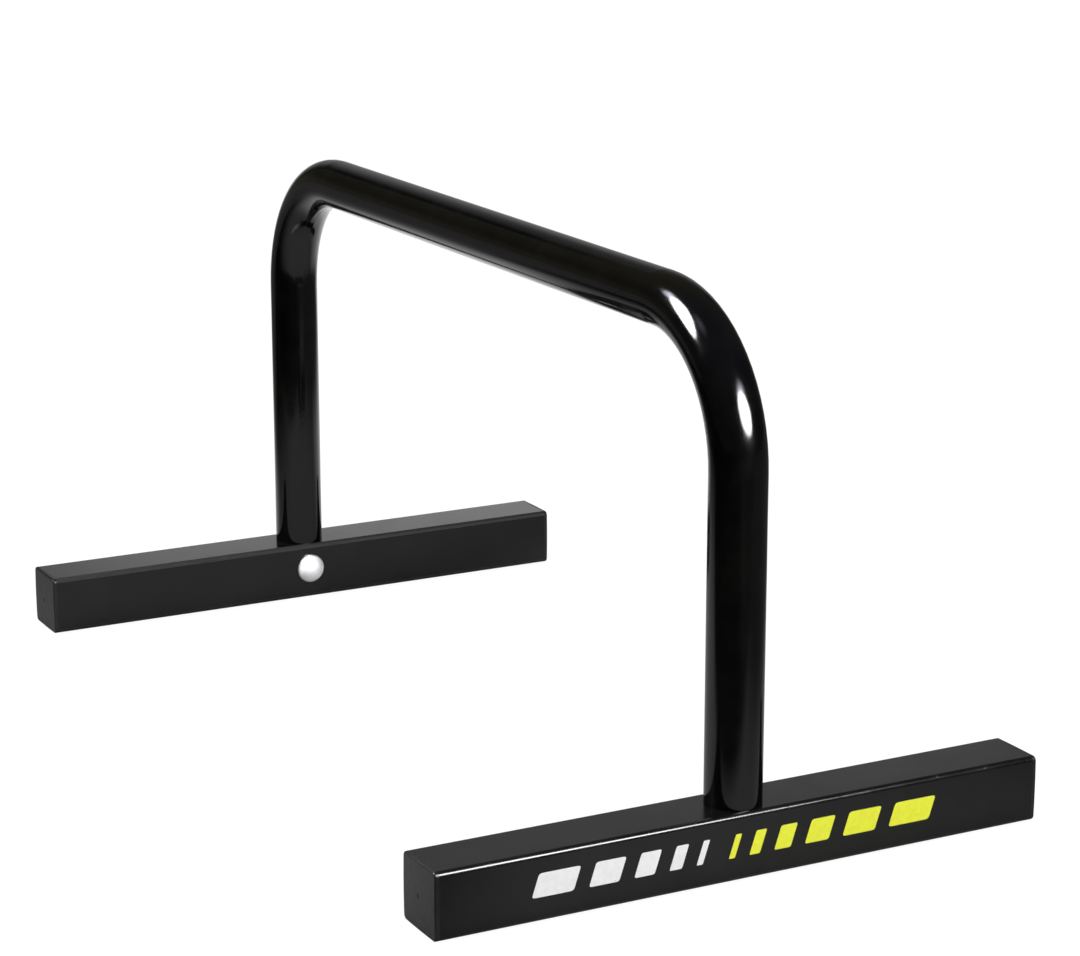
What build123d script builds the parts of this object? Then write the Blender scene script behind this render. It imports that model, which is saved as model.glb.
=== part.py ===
from build123d import *
import math
import os

os.makedirs("parts", exist_ok=True)

# Frame: millimetres, +Z up, origin on the floor midway between the two legs.
# X runs along the grip, Y along the feet, and the user stands at -Y.

# Handle tube, one length of round steel tube with two right-angle bends
tube_diameter = 33.7
tube_wall = 2.0
grip_top_height = 333.0
leg_spacing = 620.0
bend_radius = 84.0

# Feet, square box tube cut square at both ends
foot_wall = 3.0
foot_corner_radius = 3.0
foot_tube_length = 390.0
leg_side_clearance = 0.15
leg_hole_clearance = 0.1

# Plastic plugs that close the box tube
plug_flange = 3.0
plug_crown = 0.5
plug_edge_radius = 0.9
plug_stem_length = 18.0
plug_stem_wall = 1.8
plug_stem_clearance = 0.8
plug_rib_count = 4
plug_rib_width = 1.6
plug_first_rib = 2.5
plug_rib_pitch = 4.2
plug_rib_clearance = 0.05
plug_rib_taper = 25.0
plug_stem_corner_radius = 1.2
gate_mark_diameter = 3.6
gate_mark_depth = 0.3

# Fixing between leg and foot: screw from the foot's inner face into a nut inside the leg
bolt_above_middle = 2.0
bolt_diameter = 8.0
bolt_hole_clearance = 0.5
bolt_head_diameter = 14.0
bolt_head_height = 4.4
bolt_head_top_diameter = 7.6
bolt_head_rim = 0.5
bolt_socket_flats = 5.0
bolt_socket_depth = 2.6
bolt_end_chamfer = 0.8
bolt_past_nut = 1.2
nut_flats = 14.0
nut_thickness = 8.0
nut_seat_gap = 0.05
thread_clearance = 0.05

# Cover washer under the screw head, and the bright dome that snaps over the head
washer_diameter = 20.6
washer_thickness = 1.6
washer_edge_radius = 0.4
washer_lip_height = 0.8
washer_lip_width = 0.9
washer_bore_clearance = 0.2
head_clearance = 0.3
cap_snap_clearance = 0.1
cap_rim_wall = 1.1
cap_rim_height = 0.8
cap_height = 6.2

# Sizes that follow from the ones above
tube_radius = tube_diameter / 2
tube_bore_radius = tube_radius - tube_wall
bar_height = grip_top_height - tube_radius
half_spacing = leg_spacing / 2
leg_foot_height = foot_wall
foot_inner_width = tube_diameter + 2 * leg_side_clearance
foot_width = foot_inner_width + 2 * foot_wall
foot_middle = foot_width / 2
foot_overall_length = foot_tube_length + 2 * plug_flange
bolt_height = foot_middle + bolt_above_middle
bolt_hole_radius = bolt_diameter / 2 + bolt_hole_clearance
bolt_radius = bolt_diameter / 2
head_radius = bolt_head_diameter / 2
washer_radius = washer_diameter / 2
lip_inner_radius = head_radius + head_clearance
lip_outer_radius = lip_inner_radius + washer_lip_width
cap_inner_radius = lip_outer_radius + cap_snap_clearance
cap_radius = cap_inner_radius + cap_rim_wall
nut_front = foot_middle - tube_bore_radius + nut_seat_gap
nut_back = nut_front + nut_thickness
bolt_end = nut_back + bolt_past_nut

# An edge counts as lying on a circle or a plane within this distance
edge_match = 0.01


def handle_bar():
    """The bent tube: up one leg, along the grip and down the other leg, with a screw hole in each leg."""
    corners = [
        (-half_spacing, 0, leg_foot_height),
        (-half_spacing, 0, bar_height),
        (half_spacing, 0, bar_height),
        (half_spacing, 0, leg_foot_height),
    ]
    path = FilletPolyline(*corners, radius=bend_radius)
    section = Plane(origin=corners[0], z_dir=(0, 0, 1)) * (Circle(tube_radius) - Circle(tube_bore_radius))
    tube = sweep(section, path=path)
    print("handle path", round(path.length, 2), "mm, section times length",
          round(section.area * path.length), "mm3, swept tube", round(tube.volume), "mm3")
    for sign in (-1, 1):
        # The hole goes through the wall that faces the other leg, and stops inside the bore.
        inner_wall_x = sign * (half_spacing - tube_radius + tube_wall / 2)
        hole = Cylinder(bolt_hole_radius, tube_radius, rotation=(0, 90, 0))
        tube -= Pos(inner_wall_x, 0, bolt_height) * hole
    return tube


def foot_tube():
    """Square box tube along Y, with the leg hole in its top wall and the screw hole in its -X wall."""
    outer = RectangleRounded(foot_width, foot_width, foot_corner_radius)
    inner = Rectangle(foot_inner_width, foot_inner_width)
    profile = Plane.XZ * Pos(0, foot_middle) * (outer - inner)
    foot = extrude(profile, amount=foot_tube_length / 2, both=True)
    through_wall = 3 * foot_wall
    leg_hole = Cylinder(tube_radius + leg_hole_clearance, through_wall)
    foot -= Pos(0, 0, foot_width - foot_wall / 2) * leg_hole
    screw_hole = Cylinder(bolt_hole_radius, through_wall, rotation=(0, 90, 0))
    foot -= Pos(-foot_middle + foot_wall / 2, 0, bolt_height) * screw_hole
    return foot


def foot_plug():
    """Plug whose flange covers the tube's -Y end: crowned face, hollow ribbed stem inside the tube."""
    face = Pos(0, foot_middle) * RectangleRounded(foot_width, foot_width, foot_corner_radius)
    flange = extrude(Plane.XZ * face, amount=plug_flange)
    crown_reach = foot_middle * math.sqrt(2)
    crown_radius = (crown_reach**2 + plug_crown**2) / (2 * plug_crown)
    flange &= Pos(0, crown_radius - plug_flange, foot_middle) * Sphere(crown_radius)
    crowned_face = flange.faces().sort_by(Axis.Y)[0]
    flange = fillet(crowned_face.edges(), plug_edge_radius)
    gate_mark = Cylinder(gate_mark_diameter / 2, gate_mark_depth * 2, rotation=(90, 0, 0))
    flange -= Pos(0, -plug_flange, foot_middle) * gate_mark

    stem_width = foot_inner_width - 2 * plug_stem_clearance
    stem_outer = RectangleRounded(stem_width, stem_width, plug_stem_corner_radius)
    stem_inner = Rectangle(stem_width - 2 * plug_stem_wall, stem_width - 2 * plug_stem_wall)
    stem_profile = Plane.XZ * Pos(0, foot_middle) * (stem_outer - stem_inner)
    plug = flange + extrude(stem_profile, amount=-plug_stem_length)

    rib_width = foot_inner_width - 2 * plug_rib_clearance
    rib_outer = RectangleRounded(rib_width, rib_width, plug_stem_corner_radius)
    for number in range(plug_rib_count):
        # Each rib is widest on the flange side and slopes in towards the stem's free end.
        rib_start = plug_first_rib + plug_rib_pitch * number
        rib_plane = Plane(origin=(0, rib_start, foot_middle), x_dir=(1, 0, 0), z_dir=(0, 1, 0))
        rib = extrude(rib_plane * rib_outer, amount=plug_rib_width, taper=plug_rib_taper)
        core = extrude(rib_plane * stem_inner, amount=plug_rib_width)
        plug += rib - core
    return plug


def weld_nut():
    """Hexagon nut welded inside the leg: its front is shaped to the bore, its axis is the screw's."""
    blank_plane = Plane(origin=(nut_front, 0, 0), x_dir=(0, 1, 0), z_dir=(1, 0, 0))
    hexagon = RegularPolygon(radius=nut_flats / 2, side_count=6, major_radius=False, rotation=30)
    nut = extrude(blank_plane * hexagon, amount=nut_thickness)
    nut &= Pos(foot_middle, 0, 0) * Cylinder(tube_bore_radius - nut_seat_gap, 2 * nut_flats)
    thread = Cylinder(bolt_radius + thread_clearance, 2 * nut_thickness, rotation=(0, 90, 0))
    return nut - Pos(nut_front + nut_thickness / 2, 0, 0) * thread


def turned(profile):
    """A piece turned about the screw axis, from a half profile drawn as (distance along +X, radius)."""
    return revolve(Plane.XY * profile, axis=Axis.X)


def button_screw():
    """Button-head screw: low domed head outside the washer, plain shank for the thread, hexagon socket."""
    seat = -washer_thickness
    top = seat - bolt_head_height
    outline = Polyline(
        (top, bolt_head_top_diameter / 2),
        (top, 0),
        (bolt_end, 0),
        (bolt_end, bolt_radius - bolt_end_chamfer),
        (bolt_end - bolt_end_chamfer, bolt_radius),
        (seat, bolt_radius),
        (seat, head_radius),
        (seat - bolt_head_rim, head_radius),
    )
    dome = RadiusArc(outline @ 1, outline @ 0, -bolt_head_diameter / 2)
    screw = turned(make_face(Curve() + [outline, dome]))
    socket_plane = Plane(origin=(top, 0, 0), x_dir=(0, 1, 0), z_dir=(1, 0, 0))
    hexagon = RegularPolygon(radius=bolt_socket_flats / 2, side_count=6, major_radius=False)
    screw -= extrude(socket_plane * hexagon, amount=bolt_socket_depth)
    return screw


def cover_washer():
    """Washer between head and foot, with a low lip round the head that the dome snaps over."""
    bore = bolt_radius + washer_bore_clearance
    lip_top = -washer_thickness - washer_lip_height
    outline = Polyline(
        (0, bore),
        (0, washer_radius),
        (-washer_thickness, washer_radius),
        (-washer_thickness, lip_outer_radius),
        (lip_top, lip_outer_radius),
        (lip_top, lip_inner_radius),
        (-washer_thickness, lip_inner_radius),
        (-washer_thickness, bore),
        close=True,
    )
    washer = turned(make_face(outline))
    rim = washer.edges().filter_by(GeomType.CIRCLE).filter_by(
        lambda edge: abs(edge.radius - washer_radius) < edge_match and edge.center().X < -edge_match
    )
    return fillet(rim, washer_edge_radius)


def dome_cap():
    """Bright dome over the screw head: a spherical outside, and a cavity that clears the head."""
    seat = -washer_thickness
    top = seat - cap_height
    rim_edge = seat - cap_rim_height
    dome_rise = cap_height - cap_rim_height
    dome_radius = (cap_radius**2 + dome_rise**2) / (2 * dome_rise)
    outside = Polyline((top, 0), (seat, 0), (seat, cap_radius), (rim_edge, cap_radius))
    shell = turned(make_face(Curve() + [outside, RadiusArc(outside @ 1, outside @ 0, -dome_radius)]))
    lip_room_top = seat - washer_lip_height - head_clearance
    cavity_top = seat - bolt_head_height - head_clearance
    room = Polyline(
        (cavity_top, bolt_head_top_diameter / 2 + head_clearance),
        (cavity_top, 0),
        (seat, 0),
        (seat, cap_inner_radius),
        (lip_room_top, cap_inner_radius),
        (lip_room_top, lip_inner_radius),
    )
    over_head = RadiusArc(room @ 1, room @ 0, -head_radius - head_clearance)
    return shell - turned(make_face(Curve() + [room, over_head]))


pieces = {"handle_bar": handle_bar()}
foot = foot_tube()
plug = foot_plug()
fixings = {
    "weld_nut": weld_nut(),
    "bolt": button_screw(),
    "bolt_washer": cover_washer(),
    "bolt_cap": dome_cap(),
}

# A foot turned half round about Z serves the other side, so its screw always faces the middle.
for side, sign, turn in (("left", -1, 180), ("right", 1, 0)):
    place = Pos(sign * half_spacing, 0, 0)
    pieces[f"{side}_foot"] = place * Rot(0, 0, turn) * foot
    for end, half_turn in (("front", 0), ("rear", 180)):
        plug_place = Rot(0, 0, half_turn) * Pos(0, -foot_tube_length / 2, 0)
        pieces[f"{side}_foot_{end}_plug"] = place * plug_place * plug
    for name, fixing in fixings.items():
        screw_place = Rot(0, 0, turn) * Pos(-foot_middle, 0, bolt_height)
        pieces[f"{side}_{name}"] = place * screw_place * fixing

for name, piece in pieces.items():
    export_step(piece, f"parts/{name}.step")

screw_length = bolt_end + washer_thickness
print(len(pieces), "pieces, foot", round(foot_width, 2), "square and", foot_overall_length, "long,",
      "grip axis", round(bar_height, 2), "above the floor, screw", round(screw_length, 2), "long")
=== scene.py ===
# %% [markdown]
# A parallette bar: one bent steel tube standing in two square feet
#
# The real thing is simple. One round tube is bent twice into a low bridge, and
# each end drops into a short length of square box tube. A screw under a bright
# dome holds each leg, and plastic plugs close the ends of the feet. The shapes
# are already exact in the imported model, so this lesson is about everything
# that a drawing leaves out: the black powder coat, moulded plastic, plating,
# printed stripes, and the studio whose light makes black metal readable.

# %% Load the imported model
from math import cos, pi, radians, sin

import bpy
import numpy as np
from mathutils import Matrix, Vector


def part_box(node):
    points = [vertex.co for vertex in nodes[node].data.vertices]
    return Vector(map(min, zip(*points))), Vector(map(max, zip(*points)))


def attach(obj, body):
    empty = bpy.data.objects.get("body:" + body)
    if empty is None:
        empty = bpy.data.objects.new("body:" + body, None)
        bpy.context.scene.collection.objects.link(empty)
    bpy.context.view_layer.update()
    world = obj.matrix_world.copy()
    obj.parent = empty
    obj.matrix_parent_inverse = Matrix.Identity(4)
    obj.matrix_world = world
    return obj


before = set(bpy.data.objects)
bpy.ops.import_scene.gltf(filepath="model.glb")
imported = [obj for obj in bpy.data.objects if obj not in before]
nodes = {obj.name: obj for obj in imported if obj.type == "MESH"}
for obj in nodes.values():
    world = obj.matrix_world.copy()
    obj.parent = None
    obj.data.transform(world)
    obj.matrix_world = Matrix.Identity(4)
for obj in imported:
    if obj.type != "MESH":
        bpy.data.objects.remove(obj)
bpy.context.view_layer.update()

print("pieces in the packed model:", len(nodes))

# %% [markdown]
# Everything that is placed later takes its place from the pieces themselves.
# The feet are what the printed stripes lie on and what the worn edges follow,
# so their sizes are read from the model here instead of being typed again.

# %% Measure the feet
foot_low, foot_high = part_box("right_foot")
foot_half = (foot_high.x - foot_low.x) / 2
foot_offset = (foot_high.x + foot_low.x) / 2
foot_middle = (foot_high.z + foot_low.z) / 2
grip_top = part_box("handle_bar")[1].z
print(f"foot {2 * foot_half * 1000:.1f} mm square, {foot_offset * 1000:.0f} mm from the middle,"
      f" grip top at {grip_top * 1000:.0f} mm")

# %% [markdown]
# The camera stands where the photographer stood: low, off one end, with a long
# lens. A long lens keeps the two feet nearly parallel. The place and the lens
# were worked out from the object's straight edges. A camera looks down its own
# -Z axis, so it is first tipped up from the floor by a right angle less its
# downward tilt, and then turned about the vertical.

# %% Place the camera
CAMERA_PLACE = (1.7068, -0.8569, 0.6581)
TILT_DOWN = 14.68
TURN = 62.305
LENS_MM = 102.0
SENSOR_MM = 36.0

lens = bpy.data.cameras.new("lens")
lens.sensor_width = SENSOR_MM
lens.lens = LENS_MM
camera = bpy.data.objects.new("camera", lens)
camera.location = CAMERA_PLACE
camera.rotation_euler = (radians(90.0 - TILT_DOWN), 0.0, radians(TURN))
bpy.context.scene.collection.objects.link(camera)
bpy.context.scene.camera = camera
print("camera at", CAMERA_PLACE, "with a lens of", LENS_MM, "mm")

# %% [markdown]
# Shader trees are easier to read when each node is one line of code. `link`
# takes a socket and either a plain value or another node's output, and does
# the right thing with it. `node` makes one node of a kind with its settings and
# its sockets at once, and the rest are the few sums that patterns are made of.

# %% Helpers for shader trees
WHITE = (1.0, 1.0, 1.0, 1.0)


def link(tree, target, value):
    """Joins an output to the target socket, or writes a plain value into it."""
    if isinstance(value, bpy.types.NodeSocket):
        tree.links.new(value, target)
    else:
        target.default_value = value


def node(tree, kind, sockets=None, **settings):
    """One shader node: settings are attributes, sockets a dict by name or number."""
    made = tree.nodes.new("ShaderNode" + kind)
    for key, value in settings.items():
        setattr(made, key, value)
    for key, value in (sockets or {}).items():
        link(tree, made.inputs[key], value)
    return made


def calc(tree, operation, a, b=0.0):
    """The number that one sum gives: a and b may be plain numbers or outputs."""
    return node(tree, "Math", {0: a, 1: b}, operation=operation).outputs[0]


def plus(tree, a, b):
    return calc(tree, "ADD", a, b)


def minus(tree, a, b):
    return calc(tree, "SUBTRACT", a, b)


def times(tree, a, b):
    return calc(tree, "MULTIPLY", a, b)


def unsigned(tree, a):
    """a without its sign."""
    return calc(tree, "ABSOLUTE", a)


def fade(tree, value, start, end, low=0.0, high=1.0):
    """A smooth step: low before start, high after end, with an S-curve between."""
    step = node(tree, "MapRange", {0: value, 1: start, 2: end, 3: low, 4: high},
                interpolation_type="SMOOTHSTEP")
    return step.outputs[0]


def dot(tree, place, way):
    """How far place lies along the direction way: the sum of the products of their parts."""
    return node(tree, "VectorMath", {0: place, 1: way}, operation="DOT_PRODUCT").outputs["Value"]


def blend_colours(tree, share, first, second):
    """first where share is 0, second where it is 1."""
    mix = node(tree, "Mix", {"Factor": share}, data_type="RGBA")
    link(tree, mix.inputs[6], first)
    link(tree, mix.inputs[7], second)
    return mix.outputs[2]


def blend_shaders(tree, share, first, second):
    """The first shader where share is 0, the second where it is 1."""
    return node(tree, "MixShader", {0: share, 1: first.outputs[0], 2: second.outputs[0]})


def empty_tree(owner):
    """The cleared shader tree of a material or a world."""
    owner.use_nodes = True
    owner.node_tree.nodes.clear()
    return owner.node_tree


print("shader helpers are ready")

# %% [markdown]
# The floor is a white sweep. The camera sees it as plain white that still takes
# the object's shadow, and it throws white light up onto every matt surface, so
# the object is lit evenly from all sides. What black gloss shows is not its own
# colour but what stands around it, so the floor that the metal reflects matters
# more. Under the object it is lit. It ends in the dark studio along a slanting
# line a little way in front of the near foot, and to both sides, where only
# some dim spill is left, and behind the object it gets much brighter. Where a
# point lies in this patch is worked out from two directions on the floor: one
# runs away from the camera, and the other runs across its view to the left.

# %% Decide where the floor is lit
BEHIND = radians(152.0)
AWAY = (cos(BEHIND), sin(BEHIND), 0.0)
ACROSS = (-sin(BEHIND), cos(BEHIND), 0.0)

# Each edge of the light is an S-curve: where it starts and ends in metres, then
# how bright it is before and after.
FRONT_SLANT = 0.4
FRONT_EDGE = (-0.455, -0.335, 0.06, 1.0)
LEFT_EDGE = (0.86, 0.22, 0.03, 1.0)
RIGHT_EDGE = (-0.59, -0.14, 0.06, 1.0)
PATCH_LEVEL = (0.12, 0.40, 0.50, 0.30)
GLOW_BEHIND = (0.28, 0.42, 0.0, 0.56)
GLOW_BEHIND_SIDES = (0.61, 0.29)
GLOW_FAR_BEHIND = (0.48, 0.60, 0.0, 0.30)
GLOW_FAR_BEHIND_SIDES = (0.40, 0.20)
SPILL_RIGHT = (-0.15, -0.40, 0.0, 0.075)
SPILL_FAR_BEHIND = (0.45, 0.60, 0.0, 0.12)
SPILL_FAR_BEHIND_SIDE = (0.20, 0.50)

FLOOR_GREY = 0.8
GLOW_FOR_CAMERA = 1.15
GLOW_SHARE_FOR_CAMERA = 0.78


def lit_patch(tree, deep, wide):
    """How pale the floor looks in the metal: the product of the three edges, each 1 inside the
    patch, and of the patch's level, which falls from 0.5 to 0.3 behind the object."""
    slanted = minus(tree, deep, times(tree, wide, FRONT_SLANT))
    sides = times(tree, fade(tree, wide, *LEFT_EDGE), fade(tree, wide, *RIGHT_EDGE))
    lit = times(tree, fade(tree, slanted, *FRONT_EDGE), sides)
    return times(tree, lit, fade(tree, deep, *PATCH_LEVEL))


def glow_behind(tree, deep, wide):
    """The extra brightness of the floor behind the object, and the dim spill beside that."""
    sideways = unsigned(tree, wide)
    close = times(tree, fade(tree, deep, *GLOW_BEHIND), fade(tree, sideways, *GLOW_BEHIND_SIDES))
    far = times(tree, fade(tree, deep, *GLOW_FAR_BEHIND),
                fade(tree, sideways, *GLOW_FAR_BEHIND_SIDES))
    far_spill = times(tree, fade(tree, deep, *SPILL_FAR_BEHIND),
                      fade(tree, wide, *SPILL_FAR_BEHIND_SIDE))
    spill = plus(tree, fade(tree, wide, *SPILL_RIGHT), far_spill)
    return plus(tree, plus(tree, close, far), spill)


print("the view runs along", tuple(round(part, 3) for part in AWAY))

# %% [markdown]
# Light Path tells who is looking: the camera and the matt surfaces get the
# plain white floor, and only rays from glossy surfaces get the patch and the
# glow. The floor's mesh, like the wall's that comes next, is a plain grid.

# %% Lay the floor
FLOOR_HALF = 6.0
GRID_STEPS = 8


def sheet_mesh(name, corner, along, up):
    """A flat grid: corner + s * along + t * up, with s and t running evenly from 0 to 1."""
    share = np.linspace(0, 1, GRID_STEPS + 1)
    s, t = np.meshgrid(share, share)
    points = np.array(corner) + s[..., None] * np.array(along) + t[..., None] * np.array(up)
    row = GRID_STEPS + 1
    first = (np.arange(GRID_STEPS)[:, None] * row + np.arange(GRID_STEPS)).ravel()
    quads = np.stack([first, first + 1, first + row + 1, first + row], axis=1)
    mesh = bpy.data.meshes.new(name)
    mesh.from_pydata(points.reshape(-1, 3).tolist(), [], quads.tolist())
    made = bpy.data.objects.new(name, mesh)
    bpy.context.scene.collection.objects.link(made)
    return made


floor_paint = bpy.data.materials.new("studio_sweep")
tree = empty_tree(floor_paint)
place = node(tree, "TexCoord").outputs["Object"]
deep, wide = dot(tree, place, AWAY), dot(tree, place, ACROSS)
rays = node(tree, "LightPath").outputs
plain_floor = calc(tree, "MAXIMUM", rays["Is Camera Ray"], rays["Is Diffuse Ray"])
pale = calc(tree, "MAXIMUM", times(tree, plain_floor, FLOOR_GREY), lit_patch(tree, deep, wide))
tone = node(tree, "CombineColor", {0: pale, 1: pale, 2: pale})
matt = node(tree, "BsdfDiffuse", {"Color": tone.outputs[0]})
glow = node(tree, "Emission", {"Color": WHITE, "Strength": GLOW_FOR_CAMERA})
by_eye = blend_shaders(tree, times(tree, rays["Is Camera Ray"], GLOW_SHARE_FOR_CAMERA), matt, glow)
extra = times(tree, glow_behind(tree, deep, wide), rays["Is Glossy Ray"])
shine = node(tree, "Emission", {"Color": WHITE, "Strength": extra})
both = node(tree, "AddShader", {0: by_eye.outputs[0], 1: shine.outputs[0]})
node(tree, "OutputMaterial", {"Surface": both.outputs[0]})

floor = sheet_mesh("studio_floor", (-FLOOR_HALF, -FLOOR_HALF, 0),
                   (2 * FLOOR_HALF, 0, 0), (0, 2 * FLOOR_HALF, 0))
floor.data.materials.append(floor_paint)
print("floor", tuple(floor.dimensions[:2]))

# %% [markdown]
# Behind the object the sweep curves up into a wall. Its lower part is bright
# and it darkens with height. The flat tops of the feet act as mirrors at a low
# angle, so they show this wall: the far foot shows the bright part near the
# floor and looks grey, and the near foot shows the part above it and looks
# darker. The wall is only for reflections, so the camera never sees it and
# another view from behind isn't blocked.

# %% Stand the wall behind
WALL_AT = 1.15
WALL_HALF_WIDTH = 0.8
WALL_HEIGHT = 1.2
SHIFT_TO_THE_RIGHT = 0.05
LOWER_WALL = (0.14, 0.44, 1.06, 0.28)
UPPER_WALL = (0.60, 1.0, 1.0, 0.35)
WALL_SIDES = (0.77, 0.38, 0.12, 1.0)

wall_corner = Vector(AWAY) * WALL_AT - Vector(ACROSS) * WALL_HALF_WIDTH
wall = sheet_mesh("studio_wall", wall_corner, Vector(ACROSS) * 2 * WALL_HALF_WIDTH,
                  (0, 0, WALL_HEIGHT))
wall_paint = bpy.data.materials.new("studio_wall_glow")
tree = empty_tree(wall_paint)
place = node(tree, "TexCoord").outputs["Object"]
height = node(tree, "SeparateXYZ", {0: place}).outputs["Z"]
by_height = times(tree, fade(tree, height, *LOWER_WALL), fade(tree, height, *UPPER_WALL))
from_centre = unsigned(tree, plus(tree, dot(tree, place, ACROSS), SHIFT_TO_THE_RIGHT))
strength = times(tree, by_height, fade(tree, from_centre, *WALL_SIDES))
glow = node(tree, "Emission", {"Color": WHITE, "Strength": strength})
node(tree, "OutputMaterial", {"Surface": glow.outputs[0]})
wall.data.materials.append(wall_paint)
wall.visible_camera = False
wall.visible_diffuse = False
wall.visible_shadow = False
print("wall", WALL_AT, "m behind the middle of the bar")

# %% [markdown]
# The world is the room. To the camera it is plain white. To matt surfaces it
# is an even, plain light, and to gloss it is a dim room that is a little lighter
# overhead and low down on the left.

# %% Light the room
LEFT = radians(168.0)
LEFT_AND_UP = (cos(LEFT), sin(LEFT), 0.25)
LEFT_RANGE = (0.3, 0.95)
LOW_GLOW = (0.25, 0.0, 0.0, 0.055)
OVERHEAD = (0.15, 1.0, 0.040, 0.10)
ROOM_BLUE = (0.88, 0.90, 1.10, 1.0)
ROOM_WARM = (1.12, 1.04, 0.66, 1.0)
FILL = 0.72

world = bpy.data.worlds.new("studio")
bpy.context.scene.world = world
tree = empty_tree(world)
rays = node(tree, "LightPath").outputs
heading = node(tree, "TexCoord").outputs["Generated"]
rise = node(tree, "SeparateXYZ", {0: heading}).outputs["Z"]
leftness = fade(tree, dot(tree, heading, LEFT_AND_UP), *LEFT_RANGE)
low_glow = times(tree, leftness, fade(tree, rise, *LOW_GLOW))
dimness = plus(tree, fade(tree, rise, *OVERHEAD), low_glow)
tint = blend_colours(tree, leftness, ROOM_BLUE, ROOM_WARM)
fill = node(tree, "Background", {"Color": WHITE, "Strength": FILL})
room = node(tree, "Background", {"Color": tint, "Strength": dimness})
white = node(tree, "Background", {"Color": WHITE, "Strength": 1.0})
by_gloss = blend_shaders(tree, rays["Is Glossy Ray"], fill, room)
by_eye = blend_shaders(tree, rays["Is Camera Ray"], by_gloss, white)
node(tree, "OutputWorld", {"Surface": by_eye.outputs[0]})
print("room: fill", FILL, "on matt surfaces")

# %% [markdown]
# Two softboxes stand either side of the camera. On the near bend each shows as
# a crisp white shape: a long wedge on the inside of the bend and an ellipse on
# the outside. A softbox that is bright enough to burn white in black gloss
# would flood a matt surface, so each stands as a few lamps in one place: a
# strong one that only gloss sees, a fainter bluish one beside it for the way the
# cloth of a softbox fades towards its far corner, and a plain one that only
# matt surfaces see. All aim at the near bend from a direction given by its
# bearing and its height. A last faint lamp high up leaves a smudge of light
# beside the wedge.

# %% A helper for softboxes
NEAR_BEND = Vector((0.28, 0.0, 0.29))
CLOTH_TINT = (0.86, 0.87, 1.0)
FACE_CENTRE = (0.5, 0.5, 0.0)
FACE_RIM = 0.5


def soften(lamp):
    """Lets the lamp's face fade smoothly from its middle to nothing at its rim. Parametric
    gives a place on the face, with both numbers running from 0 to 1 across it."""
    lamp.use_nodes = True
    tree = lamp.node_tree
    spot = node(tree, "NewGeometry").outputs["Parametric"]
    off = node(tree, "VectorMath", {0: spot, 1: FACE_CENTRE}, operation="DISTANCE")
    link(tree, tree.nodes["Emission"].inputs["Strength"],
         fade(tree, off.outputs["Value"], FACE_RIM, 0.0))


def softbox(name, bearing, height, distance, size, turn, level, seen_by):
    """An oval lamp aimed at the near bend. Its axes are the level one and the one across that,
    both turned in the lamp's own plane, and the line of aim; level is how bright its face is."""
    swing, climb, roll = radians(bearing), radians(height), radians(turn)
    aim = Vector((cos(climb) * cos(swing), cos(climb) * sin(swing), sin(climb)))
    level_axis = Vector((-sin(swing), cos(swing), 0.0))
    cross_axis = aim.cross(level_axis)
    first = cos(roll) * level_axis + sin(roll) * cross_axis
    second = cos(roll) * cross_axis - sin(roll) * level_axis
    lamp = bpy.data.lights.new(name, "AREA")
    lamp.shape = "ELLIPSE"
    lamp.size, lamp.size_y = size
    lamp.energy = level * pi * (pi / 4) * size[0] * size[1]
    if seen_by == "gloss, softly":
        lamp.color = CLOTH_TINT
        soften(lamp)
    made = bpy.data.objects.new(name, lamp)
    facing = Matrix((first, second, aim)).transposed().to_quaternion()
    made.matrix_world = Matrix.LocRotScale(NEAR_BEND + aim * distance, facing, None)
    made.visible_camera = False
    made.visible_glossy = seen_by != "matt"
    made.visible_diffuse = seen_by == "matt"
    bpy.context.scene.collection.objects.link(made)


print("softboxes aim at", tuple(round(part, 2) for part in NEAR_BEND))

# %% [markdown]
# The lamps themselves are a table. Each row is one lamp: its bearing and height
# in degrees, its distance and its two widths in metres, its turn in degrees,
# its brightness, and the surfaces that see it. The gloss lamps were matched to
# the highlights on the near bend, and the matt ones light the plugs, the print
# and the shadow.

# %% Set up the softboxes
LAMPS = {
    "left_softbox_gloss": (-121.3, 41.3, 1.45, (0.85, 0.67), -69.7, 27.0, "gloss"),
    "right_softbox_gloss": (15.9, 22.8, 0.75, (0.59, 0.365), -10.8, 31.5, "gloss"),
    "left_softbox_corner": (-142.0, 43.0, 1.5, (0.42, 0.62), 0.0, 15.0, "gloss, softly"),
    "right_softbox_corner": (18.0, 35.0, 0.78, (0.62, 0.26), 0.0, 13.0, "gloss, softly"),
    "high_lamp_gloss": (-98.0, 65.0, 1.5, (0.60, 0.75), 0.0, 1.0, "gloss, softly"),
    "left_softbox_matt": (-123.2, 40.0, 1.6, (1.0, 0.9), 0.0, 2.9, "matt"),
    "right_softbox_matt": (15.9, 28.0, 1.6, (1.0, 0.9), 0.0, 3.8, "matt"),
}
for name, settings in LAMPS.items():
    softbox(name, *settings)
print("lamps:", ", ".join(LAMPS))

# %% [markdown]
# Every finish starts the same way: a new material with a Principled shader and
# the piece's own coordinates in metres. The finish is then a few numbers and
# some patterns that bend the roughness, the colour and the bump a little.

# %% Start a finish
def finish(name, **values):
    """A new material: its tree, its Principled shader with the values set, and the
    Object coordinates."""
    made = bpy.data.materials.new(name)
    made.use_nodes = True
    tree = made.node_tree
    shader = tree.nodes["Principled BSDF"]
    for key, value in values.items():
        shader.inputs[key].default_value = value
    return made, tree, shader, node(tree, "TexCoord").outputs["Object"]


def grain(tree, place, size, detail=2.0, rough=0.5):
    """Cloudy noise whose spots are about size metres across, from 0 to 1."""
    sockets = {"Vector": place, "Scale": 1.0 / size, "Detail": detail, "Roughness": rough}
    return node(tree, "TexNoise", sockets).outputs[0]


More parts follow.
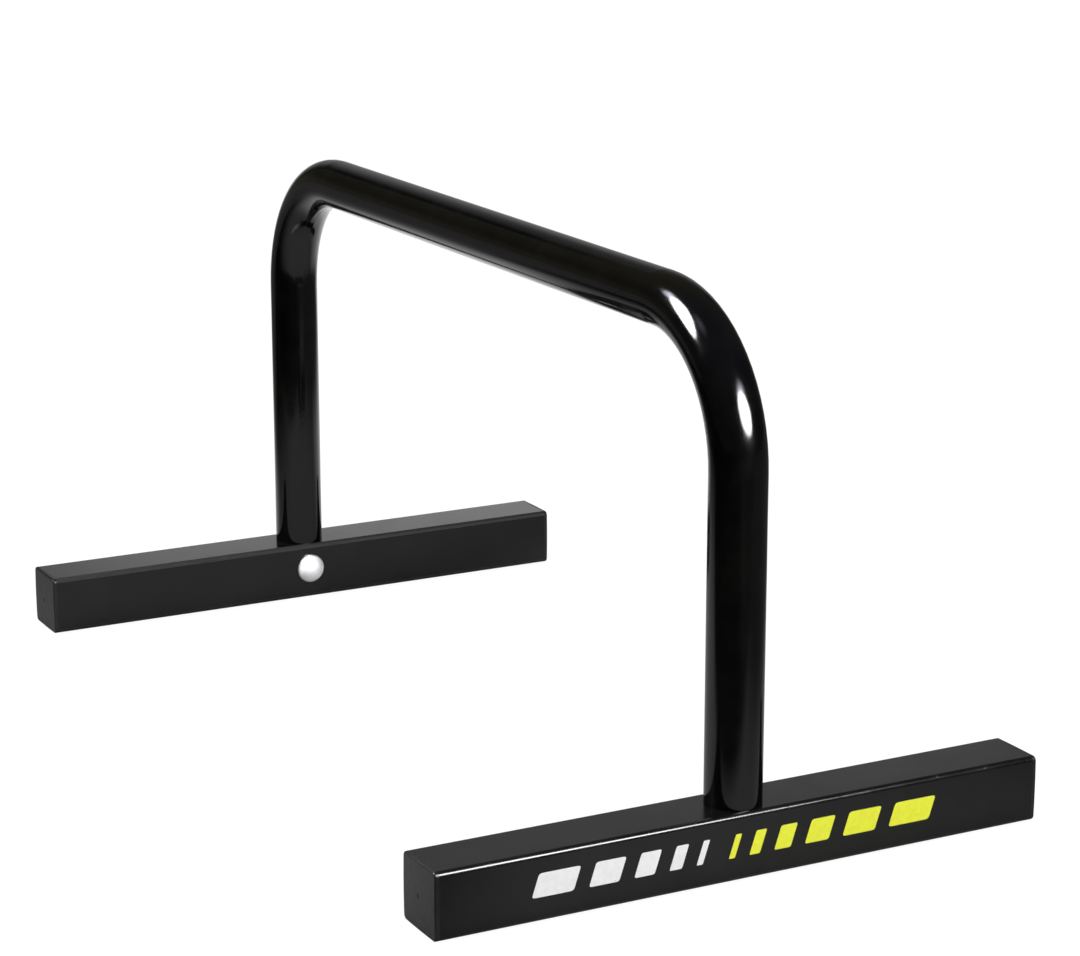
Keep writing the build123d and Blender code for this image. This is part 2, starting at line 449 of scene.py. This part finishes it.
def stretched(tree, place, shape):
    """Coordinates with each axis multiplied, which draws a pattern out along the small ones."""
    return node(tree, "Mapping", {"Vector": place, "Scale": shape}).outputs[0]


def colour_and_roughness(tree, shader, colour, roughness):
    """Joins the two patterns to the shader."""
    link(tree, shader.inputs["Base Color"], colour)
    link(tree, shader.inputs["Roughness"], roughness)


def bumps(tree, shader, layers):
    """Stacks bump layers of (pattern, depth in metres), each one laid over the last."""
    under = None
    for pattern, depth in layers:
        bump = node(tree, "Bump", {"Strength": 1.0, "Distance": depth, "Height": pattern})
        if under is not None:
            link(tree, bump.inputs["Normal"], under)
        under = bump.outputs[0]
    link(tree, shader.inputs["Normal"], under)


print("finish helpers are ready")

# %% [markdown]
# The tube has a glossy black powder coat. Powder melts into a skin that is
# never quite flat: up close it has a faint orange peel, dimples about 2 mm
# across and a few microns deep. Hands leave it a touch duller in patches, and
# hairlines run along the grip where it has been slid in and out of a bag.

# %% Gloss black for the tube
HAIRLINE_STRETCH = (26.0, 1500.0, 1500.0)

tube_black, tree, shader, place = finish("tube_powder_coat", IOR=1.5)
handled = grain(tree, place, 0.09, 3.0)
film = grain(tree, place, 0.022, 4.0, 0.6)
hairlines = grain(tree, stretched(tree, place, HAIRLINE_STRETCH), 1.0, 1.0)
rubbed = times(tree, fade(tree, hairlines, 0.66, 0.74), fade(tree, handled, 0.45, 0.65))
dull = fade(tree, handled, 0.35, 0.7, 0.085, 0.13)
dull = plus(tree, dull, fade(tree, film, 0.5, 0.75, 0.0, 0.03))
dull = plus(tree, dull, times(tree, rubbed, 0.10))
coat = blend_colours(tree, fade(tree, film, 0.35, 0.75),
                     (0.0008, 0.0008, 0.0011, 1), (0.0023, 0.0022, 0.0019, 1))
colour_and_roughness(tree, shader, coat, dull)
orange_peel, fine_peel = grain(tree, place, 0.0024, 1.0), grain(tree, place, 0.0006, 1.0)
bumps(tree, shader, [(orange_peel, 0.000012), (fine_peel, 0.0000012)])
print(tube_black.name, "has", len(tree.nodes), "nodes")

# %% [markdown]
# The feet are coated black too, with a finish that is a little less glossy,
# and box tube is never as smooth as drawn tube. The long edges get knocked
# first. How near a point is to an edge is easy on a square tube: take its
# distance from the middle line sideways and upwards, and the smaller of the
# two is large only at an edge. Noise breaks that line up, so that the coat
# looks rubbed here and there instead of outlined. The two edges that face the
# other foot catch far less of a gleam than the outer ones, so their whole
# rounding is duller.

# %% Black for the feet
WORN_BAND = (foot_half - 0.0024, foot_half - 0.0010)
ROUNDING = (foot_half - 0.0031, foot_half - 0.0024)
INNER_SIDE = (foot_offset + 0.002, foot_offset - 0.002)
SCUFF_STRETCH = (700.0, 22.0, 700.0)

foot_black, tree, shader, place = finish("foot_powder_coat", IOR=1.5)
parts = node(tree, "SeparateXYZ", {0: place}).outputs
from_the_middle = unsigned(tree, parts["X"])
sideways = unsigned(tree, minus(tree, from_the_middle, foot_offset))
upward = unsigned(tree, minus(tree, parts["Z"], foot_middle))
edge_nearness = calc(tree, "MINIMUM", sideways, upward)
mottle = grain(tree, place, 0.03, 4.0, 0.55)
knocks = grain(tree, place, 0.006, 5.0, 0.7)
scuffs = grain(tree, stretched(tree, place, SCUFF_STRETCH), 1.0, 2.0)
worn = times(tree, fade(tree, edge_nearness, *WORN_BAND), fade(tree, knocks, 0.57, 0.72))
inner_edge = times(tree, fade(tree, edge_nearness, *ROUNDING),
                   fade(tree, from_the_middle, *INNER_SIDE))
dull = fade(tree, mottle, 0.35, 0.7, 0.17, 0.23)
dull = plus(tree, dull, times(tree, fade(tree, scuffs, 0.68, 0.76), 0.06))
dull = plus(tree, dull, times(tree, worn, 0.10))
dull = plus(tree, dull, times(tree, inner_edge, 0.52))
coat = blend_colours(tree, fade(tree, mottle, 0.35, 0.7),
                     (0.0040, 0.0040, 0.0045, 1), (0.0062, 0.0060, 0.0058, 1))
coat = blend_colours(tree, worn, coat, (0.026, 0.025, 0.024, 1))
colour_and_roughness(tree, shader, coat, dull)
orange_peel, pores = grain(tree, place, 0.003, 1.0), grain(tree, place, 0.004, 2.0)
bumps(tree, shader, [(orange_peel, 0.000010), (pores, 0.000003)])
print(foot_black.name, "has", len(tree.nodes), "nodes")

# %% [markdown]
# The plugs are moulded in dark grey plastic. The mould was spark-eroded, so
# the face has an even fine texture and no shine. Plastic enters at the gate in
# the middle and flows outwards, which leaves faint cloudy rings round it, about
# 6 mm apart: a sine of the distance from the gate, shaken by noise. The rim is
# a shade darker and a little less rough.

# %% Grey plastic for the plugs
RING_RADIANS_PER_METRE = 1100.0
RING_WANDER = 9.0
RING_SHARE = 0.12
RIM_WANDER = 0.0012
RIM = (foot_half - 0.0014, foot_half - 0.0001)

plug_grey, tree, shader, place = finish("plug_plastic", IOR=1.46)
parts = node(tree, "SeparateXYZ", {0: place}).outputs
sideways = minus(tree, unsigned(tree, parts["X"]), foot_offset)
upward = minus(tree, parts["Z"], foot_middle)
squares = plus(tree, calc(tree, "POWER", sideways, 2.0), calc(tree, "POWER", upward, 2.0))
from_gate = calc(tree, "SQRT", squares)
clouds = grain(tree, place, 0.009, 3.0, 0.55)
wave = plus(tree, times(tree, from_gate, RING_RADIANS_PER_METRE), times(tree, clouds, RING_WANDER))
rings = fade(tree, calc(tree, "SINE", wave), -1.0, 1.0)
flow = plus(tree, times(tree, rings, RING_SHARE), clouds)
skin = blend_colours(tree, fade(tree, flow, 0.35, 0.9),
                     (0.024, 0.024, 0.026, 1), (0.041, 0.041, 0.044, 1))
from_middle = calc(tree, "MAXIMUM", unsigned(tree, sideways), unsigned(tree, upward))
rim = fade(tree, plus(tree, from_middle, times(tree, clouds, RIM_WANDER)), *RIM)
skin = blend_colours(tree, rim, skin, (0.009, 0.009, 0.010, 1))
dull = minus(tree, fade(tree, clouds, 0.3, 0.7, 0.44, 0.56), times(tree, rim, 0.12))
colour_and_roughness(tree, shader, skin, dull)
sparked, ripples = grain(tree, place, 0.0011, 3.0, 0.6), grain(tree, place, 0.0060, 1.0)
bumps(tree, shader, [(sparked, 0.00005), (ripples, 0.00004)])
print(plug_grey.name, "has", len(tree.nodes), "nodes")

# %% [markdown]
# The domes over the screws are pressed steel with satin chrome, which spreads
# the lamps over nearly the whole dome and so looks almost white. Metallic is 1
# on every bare metal, so its base colour is the colour of what it reflects.

# %% Satin chrome
chrome, tree, shader, place = finish("bright_chrome", Metallic=1.0)
polish = grain(tree, place, 0.004, 3.0)
fine = grain(tree, place, 0.0007, 2.0)
silver = blend_colours(tree, fade(tree, polish, 0.3, 0.7),
                       (0.95, 0.95, 0.96, 1), (0.98, 0.98, 0.98, 1))
dull = plus(tree, fade(tree, polish, 0.3, 0.75, 0.70, 0.76), fade(tree, fine, 0.55, 0.8, 0.0, 0.06))
colour_and_roughness(tree, shader, silver, dull)
bumps(tree, shader, [(polish, 0.000006), (fine, 0.0000015)])
print(chrome.name, "has", len(tree.nodes), "nodes")

# %% [markdown]
# The washers and the screws are zinc plated. Zinc is greyer than chrome and
# slightly uneven in tint, from bluish to straw, and its fine crystals are a
# cell pattern less than a millimetre across that only the bump follows.

# %% Zinc plate
SPANGLES_PER_METRE = 1400.0

zinc, tree, shader, place = finish("zinc_plate", Metallic=1.0)
patches = grain(tree, place, 0.003, 4.0, 0.6)
cells = node(tree, "TexVoronoi", {"Vector": place, "Scale": SPANGLES_PER_METRE})
bluish_to_straw = blend_colours(tree, fade(tree, patches, 0.3, 0.75),
                                (0.60, 0.62, 0.66, 1), (0.72, 0.70, 0.62, 1))
colour_and_roughness(tree, shader, bluish_to_straw, fade(tree, patches, 0.3, 0.75, 0.26, 0.42))
bumps(tree, shader, [(cells.outputs["Distance"], 0.00001), (patches, 0.00001)])
print(zinc.name, "has", len(tree.nodes), "nodes")

# %% [markdown]
# The nuts inside the legs are plain steel with the colours that welding leaves.
# One slow noise stands for how hot each place got: it turns the bare steel to
# straw and then, where it is higher still, to blue, as heat does.

# %% Plain steel
steel, tree, shader, place = finish("plain_steel", Metallic=1.0)
scale = grain(tree, place, 0.002, 5.0, 0.65)
heat = grain(tree, place, 0.008, 1.0)
bare = blend_colours(tree, fade(tree, scale, 0.35, 0.7),
                     (0.30, 0.29, 0.28, 1), (0.45, 0.44, 0.42, 1))
straw = blend_colours(tree, fade(tree, heat, 0.5, 0.62), bare, (0.42, 0.31, 0.17, 1))
heated = blend_colours(tree, fade(tree, heat, 0.62, 0.72), straw, (0.16, 0.20, 0.36, 1))
colour_and_roughness(tree, shader, heated, fade(tree, scale, 0.3, 0.75, 0.36, 0.55))
bumps(tree, shader, [(scale, 0.00004)])
print(steel.name, "has", len(tree.nodes), "nodes")

# %% [markdown]
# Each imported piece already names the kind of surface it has, so the finishes
# are handed out by the last words of its name, and the same loop serves both
# ends of the bar.

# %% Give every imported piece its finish
FINISHES = {"handle_bar": tube_black, "foot": foot_black, "plug": plug_grey, "weld_nut": steel,
            "bolt": zinc, "bolt_washer": zinc, "bolt_cap": chrome}
for name, piece in nodes.items():
    ending = max((key for key in FINISHES if name.endswith(key)), key=len)
    for slot in piece.material_slots:
        slot.material = FINISHES[ending]
    print(f"{name}: {FINISHES[ending].name}, {len(piece.data.polygons)} faces")

# %% [markdown]
# The outer face of each foot has a printed band: white at one end, yellow for
# the rest. It is a plain band of leaning bars that narrow towards the middle
# and widen again. Screen ink is a real layer, about 0.06 mm thick, so each bar
# is a thin closed solid that lies on the face, with rounded corners where the
# ink drew back. A bar is built from rings of points: they run from the middle
# of the underside out to the rim, up over it and back to the middle.

# %% Shape one printed bar
INK_THICKNESS = 0.00006
INK_BITE = 0.00001
INK_RIM = 0.00004
BAND_HEIGHT = 0.014
BAND_MIDDLE = 0.0215
BAND_LEAN = 0.33
RING_POINTS = 48
CORNER_POWER = 0.16
NEARLY_NOTHING = 1e-6


def bar_solid(start, width):
    """One printed bar as closed rings of (out, along, up). Round each ring, along and up follow
    a superellipse: the cosine and the sine of an even angle, each raised to a small power with
    its sign kept, which is nearly a rectangle with soft corners. along leans by a share of up."""
    angle = np.linspace(0, 2 * pi, RING_POINTS, endpoint=False)
    side = np.sign(np.cos(angle)) * np.abs(np.cos(angle)) ** CORNER_POWER
    rise = np.sign(np.sin(angle)) * np.abs(np.sin(angle)) ** CORNER_POWER
    shrink = np.array([NEARLY_NOTHING, 1.0, 1.0, 1.0, 0.5, NEARLY_NOTHING])
    inset = np.array([0.0, 0.0, 0.0, INK_RIM, 0.0, 0.0])
    lift = np.array([-INK_BITE, -INK_BITE, INK_THICKNESS * 0.6] + [INK_THICKNESS] * 3)
    half_w, half_h = width / 2, BAND_HEIGHT / 2
    across = (half_w - inset)[:, None] * shrink[:, None] * side
    up = (half_h - inset)[:, None] * shrink[:, None] * rise
    along = start + half_w + across + BAND_LEAN * up
    out = np.broadcast_to(lift[:, None], up.shape)
    return np.stack([out, along, BAND_MIDDLE + up], axis=-1)


def closed_grid(points, first):
    """Quads that join each ring to the next and close round; first is the first point's number."""
    rings, steps = points.shape[:2]
    row, column = np.meshgrid(np.arange(rings - 1), np.arange(steps), indexing="ij")
    here, beyond = row * steps + column, row * steps + (column + 1) % steps
    quads = np.stack([here, beyond, beyond + steps, here + steps], axis=-1)
    return first + quads.reshape(-1, 4)


print("one bar has", bar_solid(0.0, BAND_HEIGHT).shape[:2], "rings and points in each")

# %% [markdown]
# Ink on a powder coat dries satin. It is a little thinner where the mesh of
# the screen held it back, which shows as a very fine even texture, and it has
# a few pinholes where dust sat on the coat.

# %% Mix the inks
SPECKS_PER_METRE = 160.0


def ink(name, full, thin):
    """Satin screen ink of two shades that follow how thickly it was laid, with pinholes down
    to the coat."""
    made, tree, shader, place = finish(name, IOR=1.45)
    laid = grain(tree, place, 0.0035, 3.0, 0.6)
    specks = node(tree, "TexVoronoi", {"Vector": place, "Scale": SPECKS_PER_METRE})
    pinholes = fade(tree, specks.outputs["Distance"], 0.045, 0.02)
    shade = blend_colours(tree, fade(tree, laid, 0.3, 0.7), full, thin)
    shade = blend_colours(tree, pinholes, shade, (0.02, 0.02, 0.02, 1))
    colour_and_roughness(tree, shader, shade, fade(tree, laid, 0.3, 0.7, 0.38, 0.50))
    bumps(tree, shader, [(grain(tree, place, 0.0004, 1.0), 0.000006)])
    return made


white_ink = ink("white_ink", (0.93, 0.93, 0.92, 1), (0.87, 0.87, 0.87, 1))
yellow_ink = ink("yellow_ink", (0.88, 0.92, 0.036, 1), (0.82, 0.86, 0.031, 1))
print("inks:", white_ink.name, "and", yellow_ink.name)

# %% [markdown]
# All the bars of one colour on one foot are one piece. The left foot is the
# right one turned half round, so its bars are turned the same way.

# %% Print the bands
BAR_GAP = 0.0095
WHITE_START = -0.137
WHITE_WIDTHS = (0.026, 0.019, 0.013, 0.008, 0.004)
YELLOW_START = -0.012
YELLOW_WIDTHS = (0.004, 0.007, 0.011, 0.016, 0.022, 0.028)


def printed_band(name, foot, start, widths, material):
    """The bars of one colour on one foot: each starts a gap past the end of the last one."""
    points, quads, count = [], [], 0
    for width in widths:
        solid = bar_solid(start, width)
        quads.append(closed_grid(solid, count))
        points.append(solid.reshape(-1, 3))
        count += len(points[-1])
        start += width + BAR_GAP
    points = np.concatenate(points)
    points[:, 0] += foot_high.x
    if foot == "left":
        points[:, :2] *= -1
    mesh = bpy.data.meshes.new(name)
    mesh.from_pydata(points.tolist(), [], np.concatenate(quads).tolist())
    made = bpy.data.objects.new(name, mesh)
    bpy.context.scene.collection.objects.link(made)
    made.data.materials.append(material)
    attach(made, "root")
    print(f"{name}: {len(widths)} bars, {len(mesh.polygons)} faces")


for foot in ("right", "left"):
    printed_band(f"{foot}_foot_white_bars", foot, WHITE_START, WHITE_WIDTHS,
                 white_ink)
    printed_band(f"{foot}_foot_yellow_bars", foot, YELLOW_START, YELLOW_WIDTHS,
                 yellow_ink)

# %% [markdown]
# Last, the picture is set to show colours as they are written.

# %% Show colours as written
bpy.context.scene.view_settings.view_transform = "Standard"
